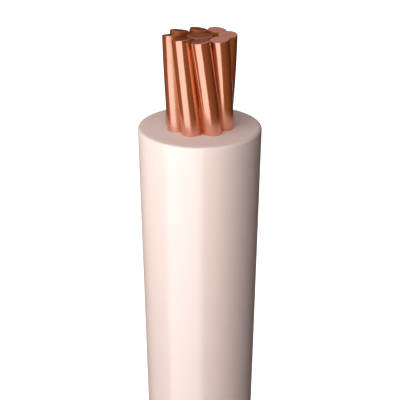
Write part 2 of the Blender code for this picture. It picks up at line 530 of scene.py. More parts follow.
class Surface:
    """A material under way, on points that know their place on the straight wire."""

    def __init__(self, name: str) -> None:
        """Starts the material."""
        self.material, self.graph, self.shader = new_material(name)
        settings = {"attribute_type": "GEOMETRY", "attribute_name": LAID}
        self.place = self.graph.add("Attribute", settings).outputs["Vector"]

    def effect(self, tree: bpy.types.NodeTree, **inputs: float) -> bpy.types.NodeOutputs:
        """Places a shared effect, and gives its outputs."""
        return self.graph.add("Group", {"node_tree": tree}, Place=self.place, **inputs).outputs

    def tint(self, tone: Any, mask: Any, share: float, other: Colour) -> bpy.types.NodeSocket:
        """Blends a tone towards another by a share of a mask."""
        return self.graph.blend(self.graph.math("MULTIPLY", mask, share), tone, other)

    def vary(self, base: Any, *parts: tuple[Any, float]) -> bpy.types.NodeSocket:
        """Adds a share of each mask to a value."""
        for mask, share in parts:
            base = self.graph.math("MULTIPLY_ADD", mask, share, base)
        return base

    def finish(
        self, tone: Any, rough: Any, height: Any, strength: float, depth: float, **constants: float
    ) -> bpy.types.Material:
        """Feeds the shader.

        Args:
            tone: the base colour.
            rough: the roughness.
            height: what the bump shows, from 0 to 1.
            strength: the bump's strength.
            depth: how deep the bump is.
            constants: other inputs of the shader by name, with _ for a space.

        Returns:
            The material.
        """
        bump = self.graph.add("Bump", Height=height, Strength=strength, Distance=depth).outputs[0]
        self.graph.fill(self.shader, Base_Color=tone, Roughness=rough, Normal=bump, **constants)
        return self.material


@dataclass(frozen=True)
class CopperFinish:
    """Bright drawn copper wire, rougher in the hollows between strands, where a redder tone is painted
    light for what bounces between them, with painted shade in the hollows next to the cut tips.
    """

    name: str = "bright_copper"
    bright: Colour = (0.96, 0.505, 0.375)
    deep: Colour = (0.93, 0.45, 0.31)
    # The redder tone of the hollows: painted light, standing in for the light that bounces between
    # strands.
    painted_bounce_tint: Colour = (0.89, 0.455, 0.215)
    # Painted shade between the cut tips, darker than the hollows' bounce tone.
    painted_shade_between_tips: Colour = (0.58, 0.25, 0.08)
    roughness: float = 0.13
    sheltered_roughness: float = 0.43
    scuffed_roughness: float = 0.12
    hollow_span: tuple[float, float] = (-0.12, 0.52)
    jacketed: float = 0.0030
    scuffed_span: tuple[float, float] = (0.0004, 0.0024)
    # Heights over the jacket's cut over which the painted shade near the tips comes in.
    tip_shade_span: tuple[float, float] = (0.0046, 0.0050)
    strand_radius: float = WireGauge().strand_radius

    def build(self, effects: SharedEffects) -> bpy.types.Material:
        """Makes the material."""
        surface = Surface(self.name)
        graph = surface.graph
        lines = surface.effect(effects.streaks, Width=0.000035, Length=0.004)
        mottle = surface.effect(effects.mottle, Patch=0.0012, Speck=0.00008)
        outwards, _, along = graph.add("SeparateXYZ", Vector=surface.place).outputs
        hollow = (share * self.strand_radius for share in self.hollow_span)
        # Mask of the hollows between strands, where the tone is painted redder for bounce light and the
        # copper is rougher.
        bounce_tint_and_rough_mask = graph.remap(outwards, *hollow, 1.0, 0.0)
        foot = graph.remap(along, *(self.jacketed + z for z in self.scuffed_span), 1.0, 0.0)
        # Mask near the cut tips, where painted shade darkens the hollows.
        tip = graph.remap(along, *(self.jacketed + z for z in self.tip_shade_span))
        tone = surface.tint(self.bright, mottle["Patches"], 0.55, self.deep)
        tone = surface.tint(tone, lines["Mask"], 0.18, self.deep)
        # In the hollows: the painted bounce tone, darkened by painted shade near the cut tips.
        tone = graph.blend(bounce_tint_and_rough_mask, tone, graph.blend(tip, self.painted_bounce_tint, self.painted_shade_between_tips))
        rough = surface.vary(
            self.roughness,
            (lines["Mask"], 0.06),
            (mottle["Specks"], 0.03),
            (bounce_tint_and_rough_mask, self.sheltered_roughness),
            (foot, self.scuffed_roughness),
        )
        return surface.finish(tone, rough, lines["Height"], 0.10, 0.00001, Metallic=1.0)


@dataclass(frozen=True)
class ShearedCopperFinish:
    """The cut ends of the strands."""

    name: str = "sheared_copper"
    bright: Colour = (0.93, 0.47, 0.34)
    deep: Colour = (0.86, 0.40, 0.26)
    roughness: float = 0.06

    def build(self, effects: SharedEffects) -> bpy.types.Material:
        """Makes the material."""
        surface = Surface(self.name)
        marks = surface.effect(effects.cut_marks, Spacing=0.00009, Wander=3.0)
        mottle = surface.effect(effects.mottle, Patch=0.0005, Speck=0.00006)
        tone = surface.tint(self.bright, marks["Mask"], 0.35, self.deep)
        tone = surface.tint(tone, mottle["Patches"], 0.4, self.deep)
        rough = surface.vary(self.roughness, (marks["Mask"], 0.04))
        return surface.finish(tone, rough, marks["Height"], 0.08, 0.00001, Metallic=1.0)


@dataclass(frozen=True)
class JacketFinish:
    """Extruded warm-white PVC with a satin skin."""

    name: str = "white_pvc"
    clean: Colour = (0.86, 0.715, 0.665)
    worn: Colour = (0.83, 0.68, 0.63)
    roughness: float = 0.17

    def build(self, effects: SharedEffects) -> bpy.types.Material:
        """Makes the material."""
        surface = Surface(self.name)
        lines = surface.effect(effects.streaks, Width=0.00035, Length=0.03)
        mottle = surface.effect(effects.mottle, Patch=0.009, Speck=0.00035)
        tone = surface.tint(self.clean, mottle["Patches"], 0.30, self.worn)
        tone = surface.tint(tone, lines["Mask"], 0.12, self.worn)
        rough = surface.vary(self.roughness, (mottle["Specks"], 0.06))
        height = surface.vary(0.0, (lines["Height"], 0.7), (mottle["Specks"], 0.25))
        return surface.finish(tone, rough, height, 0.12, 0.00003, Specular_IOR_Level=1.0, IOR=1.6)


@dataclass(frozen=True)
class CutJacketFinish:
    """The cut face of the jacket, with the marks of a blade that ran round the wire, in tones painted
    lighter than the skin's PVC: painted light on the face.
    """

    name: str = "cut_pvc"
    # Lighter than the skin's PVC: painted light that brightens the cut face.
    clean: Colour = (0.95, 0.775, 0.72)
    worn: Colour = (0.88, 0.70, 0.64)
    ring_spacing: float = 0.00034
    roughness: float = 0.5

    def build(self, effects: SharedEffects) -> bpy.types.Material:
        """Makes the material."""
        surface = Surface(self.name)
        marks = surface.effect(effects.cut_marks, Spacing=0.00028, Wander=2.5)
        mottle = surface.effect(effects.mottle, Patch=0.0015, Speck=0.00015)
        rings = surface.graph.add(
            "TexWave",
            {"wave_type": "RINGS", "rings_direction": "Z"},
            Vector=surface.place,
            Scale=TAU / (20 * self.ring_spacing),
            Distortion=1.2,
            Detail=2.0,
            Detail_Scale=0.5,
        ).outputs["Fac"]
        tone = surface.tint(self.clean, marks["Mask"], 0.16, self.worn)
        tone = surface.tint(tone, mottle["Patches"], 0.2, self.worn)
        tone = surface.tint(tone, rings, 0.14, self.worn)
        rough = surface.vary(self.roughness, (mottle["Specks"], 0.08))
        height = surface.vary(marks["Height"], (rings, 0.5))
        return surface.finish(tone, rough, height, 0.14, 0.00002)


@dataclass(frozen=True)
class StrappingFinish:
    """Black plastic strapping, embossed with slanting ridges."""

    name: str = "black_strapping"
    clean: Colour = (0.018, 0.018, 0.020)
    worn: Colour = (0.055, 0.055, 0.058)
    roughness: float = 0.38
    ridge_spacing: float = 0.0007
    ridge_gain: float = 1400.0

    def build(self, effects: SharedEffects) -> bpy.types.Material:
        """Makes the material."""
        surface = Surface(self.name)
        graph = surface.graph
        lines = surface.effect(effects.streaks, Width=0.0004, Length=0.02)
        mottle = surface.effect(effects.mottle, Patch=0.006, Speck=0.0004)
        across, _, along = graph.add("SeparateXYZ", Vector=surface.place).outputs
        slanted = [surface.vary(across, (along, sign)) for sign in (1.0, -1.0)]
        ridges = [graph.math("PINGPONG", place, self.ridge_spacing) for place in slanted]
        emboss = graph.math("MULTIPLY", graph.math("MINIMUM", *ridges), self.ridge_gain)
        tone = surface.tint(self.clean, lines["Mask"], 0.45, self.worn)
        rough = surface.vary(self.roughness, (mottle["Patches"], 0.14))
        height = surface.vary(emboss, (lines["Height"], 0.2))
        return surface.finish(tone, rough, height, 0.5, 0.00015)


@dataclass
class Finishes:
    """Every material of the coil."""

    copper: bpy.types.Material
    sheared: bpy.types.Material
    jacket: bpy.types.Material
    cut_jacket: bpy.types.Material
    strapping: bpy.types.Material

    @classmethod
    def make(cls) -> "Finishes":
        """Builds them from the shared effects."""
        effects = SharedEffects.make()
        kinds = (CopperFinish, ShearedCopperFinish, JacketFinish, CutJacketFinish, StrappingFinish)
        return cls(*(kind().build(effects) for kind in kinds))


# Pieces


def declare(piece: bpy.types.Object, slot: Slot, *nodes: str) -> bpy.types.Object:
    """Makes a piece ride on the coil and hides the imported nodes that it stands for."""
    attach(piece, "root")
    if nodes:
        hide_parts(*nodes)
    log.info("%s: %d faces", piece.name, len(piece.data.polygons))
    return piece


def keep_out_of_reflections(pieces: Sequence[bpy.types.Object]) -> None:
    """Hides pieces from mirror rays, so that the standing end mirrors the studio alone."""
    for piece in pieces:
        piece.visible_glossy = False


@dataclass(frozen=True)
class StrandPlace:
    """Where one strand of the ring stands, at its tip and at the cut of the jacket."""

    tip_angle: float
    foot_angle: float
    tip_reach: float
    foot_reach: float
    top: float

    @classmethod
    def of(cls, tip_degrees: float, foot_degrees: float, *millimetres: float) -> "StrandPlace":
        """Takes the angles in degrees, and the two reaches and the top in millimetres."""
        lengths = (length / 1000 for length in millimetres)
        return cls(math.radians(tip_degrees), math.radians(foot_degrees), *lengths)


STRAND_PLACES = (
    StrandPlace.of(-88.8, -60.8, 1.460, 1.420, 5.07),
    StrandPlace.of(-45.2, -17.0, 1.455, 1.425, 5.08),
    StrandPlace.of(0.5, 29.0, 1.500, 1.500, 5.10),
    StrandPlace.of(48.6, 74.5, 1.455, 1.450, 5.10),
    StrandPlace.of(91.8, 119.0, 1.450, 1.420, 5.06),
    StrandPlace.of(139.5, 165.0, 1.460, 1.480, 5.10),
    StrandPlace.of(184.5, 207.5, 1.500, 1.430, 5.10),
    StrandPlace.of(228.7, 251.2, 1.455, 1.420, 5.10),
)


@dataclass
class StrippedConductor:
    """The bare strands that stand out of the jacket."""

    layout: CoilLayout
    places: tuple[StrandPlace, ...]
    centre_top: float = 0.00504
    centre_radius: float = 0.00071
    centre_spread: float = 0.00122
    centre_clearance: float = 0.00002
    spread_from: float = 0.0007
    depth: float = 0.0030
    steps: int = 64
    tip_steps: int = 6
    sides: int = 56
    edge: float = 0.00003
    edge_turns: tuple[float, ...] = (22.5, 45.0, 67.5, 90.0)
    face_ring: float = 0.8
    half_shares: tuple[float, ...] = (0, 0.12, 0.24, 0.34, 0.40, 0.44, 0.47)

    def angle_at(self, place: StrandPlace, height: np.ndarray | float) -> np.ndarray | float:
        """Angle of a strand round the conductor's axis at a height over the jacket's cut."""
        return place.tip_angle + (place.foot_angle - place.tip_angle) * (1 - height / place.top)

    def reach_at(self, place: StrandPlace, height: np.ndarray | float) -> np.ndarray | float:
        """Distance of a strand's middle from that axis."""
        share = np.clip(height, 0, None) / place.top
        return place.foot_reach + (place.tip_reach - place.foot_reach) * share

    def strand_sweep(self, place: StrandPlace) -> Sweep:
        """The middle line of one ring strand."""
        height = np.linspace(-self.depth, place.top, self.steps + 1)
        angle = self.angle_at(place, height)
        side = np.column_stack([np.cos(angle), np.sin(angle), 0 * angle])
        centres = self.layout.rim + side * self.reach_at(place, height)[:, None]
        centres[:, 2] += height
        return Sweep.make(centres, side)

    def walls(
        self, place: StrandPlace, angle: np.ndarray, height: float, clearance: float
    ) -> tuple[np.ndarray, np.ndarray]:
        """Where lines from the conductor's axis enter and leave a ring strand.

        Args:
            place: where the strand stands.
            angle: the directions of the lines.
            height: their height over the jacket's cut.
            clearance: room round the strand, counted as part of it.

        Returns:
            The nearer and the farther distance in each direction, not a number where a line misses.
        """
        reach = self.reach_at(place, height)
        off = angle - self.angle_at(place, height)
        within = (self.layout.gauge.strand_radius + clearance) ** 2 - (reach * np.sin(off)) ** 2
        half = np.sqrt(np.where((within > 0) & (np.cos(off) > 0), within, np.nan))
        return reach * np.cos(off) - half, reach * np.cos(off) + half

    def add_strand(self, draft: MeshDraft, sweep: Sweep, outlines: Sequence[np.ndarray]) -> None:
        """Adds a strand whose cut end has a fine rounded edge.

        Args:
            draft: the mesh that it goes into.
            sweep: the strand's line.
            outlines: its cross-section at each point of the line, the last of them round.
        """
        rings = [draft.ring(*sweep.section(index, outline)) for index, outline in enumerate(outlines)]
        draft.loft(rings)
        draft.fan(rings[0], sweep.middle(0), flipped=True)
        rim, tip = rings[-1], outlines[-1]
        radius = float(np.linalg.norm(tip[0]))
        for degrees in self.edge_turns:
            turn = math.radians(degrees)
            outline = tip * (1 - self.edge / radius * (1 - math.cos(turn)))
            ring = draft.ring(*sweep.section(-1, outline, self.edge * math.sin(turn)))
            draft.bridge(rim, ring, finish=int(degrees == self.edge_turns[-1]))
            rim = ring
        inner = draft.ring(*sweep.section(-1, tip * self.face_ring, self.edge))
        draft.bridge(rim, inner, finish=1)
        draft.fan(inner, sweep.middle(-1, self.edge), finish=1)

    def centre_outline(self, height: float) -> np.ndarray:
        """Cross-section of the middle strand, which the ring presses into its own hollows.

        Args:
            height: the height over the jacket's cut.

        Returns:
            Rows of points that turn with the ring, round at the tip.
        """
        turns = [float(self.angle_at(place, height)) for place in self.places]
        turns.append(turns[0] + TAU)
        half = np.array(self.half_shares)
        shares = np.concatenate([half, [0.5], 1 - half[:0:-1]])
        angle = np.concatenate([a + (b - a) * shares for a, b in zip(turns, turns[1:])])
        reach = np.full(len(angle), self.centre_spread)
        for place in self.places:
            reach = np.fmin(reach, self.walls(place, angle, height, self.centre_clearance)[0])
        pressed = float(smooth_step(np.array((self.centre_top - height) / self.spread_from)))
        reach = self.centre_radius + (reach - self.centre_radius) * pressed
        return np.column_stack([np.cos(angle), np.sin(angle)]) * reach[:, None]

    def centre_strand(self) -> tuple[Sweep, list[np.ndarray]]:
        """The line of the middle strand and its cross-sections."""
        shoulder = self.centre_top - self.spread_from
        low = np.linspace(-self.depth, shoulder, self.steps)
        tip = np.linspace(shoulder, self.centre_top, self.tip_steps + 1)[1:]
        height = np.concatenate([low, tip])
        centres = self.layout.rim + np.column_stack([0 * height, 0 * height, height])
        sweep = Sweep.make(centres, np.tile([1.0, 0.0, 0.0], (len(height), 1)))
        return sweep, [self.centre_outline(float(h)) for h in height]

    def build(self, finishes: Finishes) -> list[bpy.types.Object]:
        """Makes the middle strand, all of it with the hollows' painted bounce tone and roughness, and the
        ring.
        """
        strands = [("centre_strand", *self.centre_strand(), 2 * self.centre_radius)]
        outline = circle(self.layout.gauge.strand_radius, self.sides)
        for number, place in enumerate(self.places, 1):
            sweep = self.strand_sweep(place)
            strands.append((f"outer_strand_{number}", sweep, [outline] * len(sweep.centres), 0.0))
        pieces = []
        for node, sweep, outlines, shift_into_hollow_tone in strands:
            draft = MeshDraft()
            self.add_strand(draft, sweep, outlines)
            # Moves the middle strand's places on the wire so that all of it takes the hollows' painted
            # bounce tone and roughness.
            draft.laid = [rows - [shift_into_hollow_tone, 0, 0] for rows in draft.laid]
            mesh = draft.build(node + "_bare", sharp_angle=50)
            piece = make_object(node + "_bare", mesh, [finishes.copper, finishes.sheared])
            pieces.append(declare(piece, Slot.COPPER, node))
        return pieces

    def hollow(self, angle: np.ndarray, height: float, clearance: float, floor: float) -> np.ndarray:
        """Outline of the strands at a height, as the jacket closes on it.

        Args:
            angle: the directions in which it is measured.
            height: the height over the jacket's cut.
            clearance: room left round each strand.
            floor: how near to the axis the jacket reaches into the hollows between strands.

        Returns:
            The outline's distance from the axis in each direction.
        """
        reach = np.full(len(angle), floor)
        for place in self.places:
            reach = np.fmax(reach, self.walls(place, angle, height, clearance)[1])
        return reach


@dataclass
class FreeEndJacket:
    """The jacket of the standing end, from the last turn to its cut face."""

    layout: CoilLayout
    conductor: StrippedConductor
    straight_steps: int = 24
    sides: int = 192
    rim_rounding: float = 0.00016
    rounding_rings: int = 6
    face_rings: tuple[float, ...] = (0.15, 0.4, 0.65, 0.85, 1.0)
    clearance: float = 0.00001
    hollow_floor: float = 0.00160
    depth: float = 0.00003
    laid_from: float = 0.5

    def route(self) -> np.ndarray:
        """Its middle line."""
        return self.layout.free_end_route(self.straight_steps)

    def build(self, finishes: Finishes) -> bpy.types.Object:
        """Makes the jacket with the hole that the strands fill."""
        radius, route = self.layout.gauge.radius, self.route()
        sweep = Sweep.make(route, unit(route * [1, 1, 0]), start=self.laid_from)
        draft = MeshDraft()
        outline = circle(radius, self.sides)
        rings = [draft.ring(*sweep.section(index, outline)) for index in range(len(route) - 1)]
        for turn in np.linspace(0, math.pi / 2, self.rounding_rings):
            inset = self.rim_rounding * (1 - math.cos(turn))
            lift = self.rim_rounding * (math.sin(turn) - 1)
            rings.append(draft.ring(*sweep.section(-1, circle(radius - inset, self.sides), lift)))
        draft.loft(rings)
        draft.fan(rings[0], sweep.middle(0), flipped=True)
        self.add_cut_face(draft, sweep, rings[-1])
        mesh = draft.build("free_end_jacket_skin", sharp_angle=60)
        piece = make_object("free_end_jacket_skin", mesh, [finishes.jacket, finishes.cut_jacket])
        return declare(piece, Slot.JACKET, "free_end_jacket")

    def add_cut_face(self, draft: MeshDraft, sweep: Sweep, rim: np.ndarray) -> None:
        """Adds the face and the hole, whose walls follow the strands down.

        Args:
            draft: the jacket's mesh.
            sweep: the jacket's line.
            rim: the ring at the face's outer edge.
        """
        turn = np.arange(self.sides) * TAU / self.sides
        first, second = sweep.first[-1], sweep.second[-1]
        handed = 1.0 if np.cross(first, second)[2] > 0 else -1.0
        angle = math.atan2(first[1], first[0]) + handed * turn
        direction = np.column_stack([np.cos(turn), np.sin(turn)])
        outer = self.layout.gauge.radius - self.rim_rounding
        mouth = self.conductor.hollow(angle, 0.0, self.clearance, self.hollow_floor)
        steps = [(outer + (mouth - outer) * share, 0.0) for share in self.face_rings]
        for height in (-self.depth / 2, -self.depth):
            wall = self.conductor.hollow(angle, height, self.clearance, self.hollow_floor)
            steps.append((wall, height))
        for reach, height in steps:
            ring = draft.ring(*sweep.section(-1, direction * reach[:, None], height))
            draft.bridge(rim, ring, finish=1)
            rim = ring
        draft.fan(rim, sweep.middle(-1, -self.depth), finish=1)

    def declare_cord(self) -> None:
        """Works out the standing end's middle line, and does no more with it."""
        route = self.route()


@dataclass
class WoundTurns:
    """The turns that show, each run of them one continuous length of the wire."""

    layout: CoilLayout
    steps_per_turn: int = 160
    sides: int = 16
    wander: float = 0.00012
    wander_from: float = 0.2
    wander_turns: float = 0.25
    radial_waves: Waves = ((2.37, 1.0, 1.0), (5.13, 0.0, 0.6))
    vertical_waves: Waves = ((1.71, 0.0, 1.0), (4.39, 2.0, 0.6))
    early_sink_above: int = 3
    arch: float = 0.15
    inner_start: float = 0.155
    lead: float = 0.3
    tuck: float = 0.4
    core_levels: tuple[float, float] = (1.7, 8.3)
    core_inset: float = 0.45
    core_sides: int = 128
    strand_proud: float = 0.00025
    strand_uneven: float = 0.00008
    strand_root: float = 0.0006
    strand_sides: int = 28

    def passage(self, before: tuple[int, int], after: tuple[int, int]) -> Passage:
        """How the wire gets from one slot to the next."""
        if before[0] == after[0]:
            if before[0] % 2 == 0:
                return Passage.RISE
            return Passage.SINK_AT_TOP if after[1] > self.early_sink_above else Passage.SINK_AT_BOTTOM
        return Passage.OUTWARD_AT_BOTTOM if before[0] % 2 else Passage.OUTWARD_AT_TOP

    def place_at(self, turn: float) -> np.ndarray:
        """Radius and height of the wire's middle at a turn, counted from the crossing sector's start."""
        layout, slots = self.layout, self.layout.slots()
        number = min(int(math.floor(turn)), len(slots) - 1)
        here = slots[max(number, 0)]
        place = np.array(layout.slot_place(*here))
        if number <= 0 or turn >= len(slots):
            return place
        before = slots[number - 1]
        way = self.passage(before, here)
        start, end = way.value
        sector = (turn - number) * TAU / layout.crossing_width
        share = float(smooth_step(np.array((sector - start) / (end - start))))
        place = np.array(layout.slot_place(*before)) * (1 - share) + place * share
        if way in (Passage.OUTWARD_AT_TOP, Passage.OUTWARD_AT_BOTTOM):
            arch = self.arch * layout.pitch * math.sin(math.pi * share) ** 2
            place[1] += arch if way is Passage.OUTWARD_AT_TOP else -arch
        return place

    def route(self, first_turn: float, last_turn: float) -> tuple[np.ndarray, np.ndarray]:
        """The middle line of a run of turns, which wander a little.

        Args:
            first_turn: where it starts, counted in turns from the crossing sector's start.
            last_turn: where it ends.

        Returns:
            The line's points, and the outward direction at each.
        """
        count = round((last_turn - first_turn) * self.steps_per_turn)
        turns = np.linspace(first_turn, last_turn, count + 1)
        radius, height = np.array([self.place_at(float(turn)) for turn in turns]).T
        azimuth = self.layout.crossing_start + turns * TAU
        ends = np.minimum(turns - self.wander_from, len(self.layout.slots()) - turns)
        wander = self.wander * smooth_step(ends / self.wander_turns)
        radius += wander * wave_sum(self.radial_waves, azimuth)
        height += wander * wave_sum(self.vertical_waves, azimuth)
        outward = np.column_stack([np.cos(azimuth), np.sin(azimuth), 0 * azimuth])
        centres = outward * radius[:, None]
        centres[:, 2] = height
        return centres, outward

    def runs(self) -> dict[str, list[tuple[float, float]]]:
        """The runs of turns that show on each side of the coil, by piece. Their ends lie out of sight."""
        layout, slots = self.layout, self.layout.slots()
        last_layer, last_level = layout.layers - 1, layout.turns_in_full_layer - 1
        end = len(slots) + (layout.lift_azimuth - layout.crossing_start) / TAU
        inner = (self.inner_start, last_level + 3 + self.lead)
        outer = (slots.index((last_layer, 0)) - 2 - self.lead, end)
        top = [slots.index((layer, last_level - 1)) for layer in range(2, last_layer, 2)]
        underside = [slots.index((layer, 1)) for layer in range(1, last_layer - 1, 2)]
        return {
            "wound_turns_inner_layer": [inner],
            "wound_turns_outer_layer": [outer],
            "wound_turns_top": [(first - self.tuck, first + 4 + self.tuck) for first in top],
            "wound_turns_underside": [(first - self.tuck, first + 4 + self.tuck) for first in underside],
        }

    def build(self, finishes: Finishes) -> list[bpy.types.Object]:
        """Makes a piece for each side of the coil, the core behind them and the inner end's strands."""
        pieces = []
        for name, runs in self.runs().items():
            draft = MeshDraft()
            for first, last in runs:
                sweep = Sweep.make(*self.route(first, last), start=first)
                add_tube(draft, sweep, self.layout.gauge.radius, self.sides)
            piece = make_object(name, draft.build(name, sharp_angle=60), [finishes.jacket])
            pieces.append(declare(piece, Slot.JACKET, "wound_turns"))
        return pieces + [self.build_core(finishes), self.build_inner_end(finishes)]

    def build_inner_end(self, finishes: Finishes) -> bpy.types.Object:
        """Makes the strands that show, cut almost flush, where the wire starts in the bore."""
        gauge = self.layout.gauge
        centres, outward = self.route(self.inner_start, self.inner_start + 0.1)
        sweep = Sweep.make(centres, outward)
        along = unit(centres[1] - centres[0])
        spots = [(0.0, 0.0, gauge.centre_radius)]
        spots += [(x, y, gauge.strand_radius) for x, y in circle(gauge.ring_radius, gauge.outer_strands)]
        draft = MeshDraft()
        for number, (x, y, radius) in enumerate(spots):
            foot = centres[0] + x * sweep.first[0] + y * sweep.second[0]
            proud = self.strand_proud + self.strand_uneven * math.sin(2.1 * number)
            line = np.array([foot + along * self.strand_root, foot, foot - along * proud])
            strand = Sweep.make(line, np.tile(sweep.first[0], (3, 1)))
            add_tube(draft, strand, radius, self.strand_sides)
        mesh = draft.build("inner_end_strands", sharp_angle=50)
        return declare(make_object("inner_end_strands", mesh, [finishes.sheared]), Slot.COPPER)

    def build_core(self, finishes: Finishes) -> bpy.types.Object:
        """Makes the plain ring that fills the coil behind the turns that show."""
        layout = self.layout
        inset = self.core_inset * layout.layer_pitch
        near = layout.slot_place(0, 0)[0] + inset
        far = layout.slot_place(layout.layers - 1, 0)[0] - inset
        low, high = (layout.bottom + level * layout.pitch for level in self.core_levels)
        corners = np.array([(near, low), (near, high), (far, high), (far, low)])
        draft, rings = MeshDraft(), []
        for azimuth in np.arange(self.core_sides) * TAU / self.core_sides:
            side = np.array([math.cos(azimuth), math.sin(azimuth), 0])
            rings.append(draft.ring(corners[:, :1] * side + corners[:, 1:] * UP))
        draft.loft(rings + rings[:1])
        piece = make_object("wound_turns_core", draft.build("wound_turns_core"), [finishes.jacket])
        return declare(piece, Slot.JACKET, "wound_turns")


@dataclass
class Straps:
    """Lengths of flat strapping round the bundle, each welded to itself where it overlaps."""

    layout: CoilLayout
    count: int = 4
    first_azimuth: float = math.radians(45)
    width: float = 0.012
    overlap: float = 0.034
    edge: float = 0.00018
    clearance: float = 0.00008
    bore_room: float = 0.0004
    lap_start: float = 0.45
    lap_ramp: float = 0.006
    lap_gap: float = 0.00003
    steps: int = 260

    def loop(self) -> tuple[np.ndarray, np.ndarray, np.ndarray]:
        """The strip's path round the bundle, in radius and height.

        Returns:
            The points of the strip's middle, the outward directions there, and the length at each.
        """
        layout, gap = self.layout, self.clearance
        half = layout.strap_thickness / 2
        inner = layout.inner_radius - self.bore_room - gap
        low = np.array([inner, layout.bottom - layout.strap_gap]) - half
        high = np.array([layout.outer_radius, layout.top]) + gap + half
        corner = layout.pitch / 2 + gap + half
        width, height = high - low - 2 * corner
        arc = math.pi / 2 * corner
        total = 2 * (width + height) + 4 * arc
        start = self.lap_start * height
        travel = np.linspace(start, start + total + self.overlap, self.steps)
        points, normals = np.empty((self.steps, 2)), np.empty((self.steps, 2))
        for index, distance in enumerate(travel):
            left = distance % total
            pivot = np.array([high[0] - corner, low[1] + corner])
            for leg, length in enumerate((height, width, height, width)):
                angle = leg * math.pi / 2
                way = np.array([-math.sin(angle), math.cos(angle)])
                if left <= length + arc:
                    angle += max(left - length, 0) / corner
                    normals[index] = (math.cos(angle), math.sin(angle))
                    points[index] = pivot + way * min(left, length) + corner * normals[index]
                    break
                left -= length + arc
                pivot += way * length
        doubled = smooth_step((travel - start - total + self.lap_ramp) / self.lap_ramp)
        points += normals * (doubled * (layout.strap_thickness + self.lap_gap))[:, None]
        return points, normals, travel

    def outline(self) -> np.ndarray:
        """The strip's cross-section with its rounded edges."""
        x, y = self.width / 2 - self.edge, self.layout.strap_thickness / 2 - self.edge
        corners = np.repeat([(x, y), (-x, y), (-x, -y), (x, -y)], 4, axis=0)
        turn = np.radians(np.add.outer([0.0, 90.0, 180.0, 270.0], [0.0, 30.0, 60.0, 90.0])).ravel()
        return corners + self.edge * np.column_stack([np.cos(turn), np.sin(turn)])

    def build(self, finishes: Finishes) -> list[bpy.types.Object]:
        """Makes the straps."""
        points, normals, travel = self.loop()
        outline = self.outline()
        pieces = []
        for number in range(self.count):
            azimuth = self.first_azimuth + TAU * number / self.count
            radial = np.array([math.cos(azimuth), math.sin(azimuth), 0])
            across = np.array([math.sin(azimuth), -math.cos(azimuth), 0])
            draft, rings, middles = MeshDraft(), [], []
            for (radius, height), (out, lift), along in zip(points, normals, travel):
                middle, normal = radial * radius + UP * height, radial * out + UP * lift
                ring = middle + outline[:, :1] * across + outline[:, 1:] * normal
                laid = np.column_stack([outline, np.full(len(outline), along)])
                rings.append(draft.ring(ring, laid))
                middles.append(middle[None])
            draft.loft(rings[::-1])
            draft.fan(rings[0], (middles[0], middles[0]))
            draft.fan(rings[-1], (middles[-1], middles[-1]), flipped=True)
            name = f"strap_{number + 1}_strapping"
            piece = make_object(name, draft.build(name, sharp_angle=45), [finishes.strapping])
            pieces.append(declare(piece, Slot.STRAPPING, f"strap_{number + 1}"))
        return pieces


# The studio


@dataclass(frozen=True)
class Panel:
    """A soft lamp that faces the standing end.

    Its azimuth is counted in degrees from the camera's side to the right, its middle from the floor.
    """

    name: str
    azimuth: float
    distance: float
    width: float
    height: float
    middle: float
    power: float

    def build(self, rim: Vector) -> bpy.types.Object:
        """Hangs the lamp round the rim."""
        data = bpy.data.lights.new(self.name, "AREA")
        data.shape, data.energy = "RECTANGLE", self.power
        data.size, data.size_y = self.width, self.height
        lamp = bpy.data.objects.new(self.name, data)
        bpy.context.scene.collection.objects.link(lamp)
        turn = math.radians(self.azimuth)
        aim = Vector((rim.x, rim.y, self.middle))
        lamp.location = aim + self.distance * Vector((math.sin(turn), -math.cos(turn), 0))
        lamp.rotation_euler = (aim - lamp.location).to_track_quat("-Z", "Y").to_euler()
        lamp.visible_camera = lamp.visible_glossy = False
        return lamp


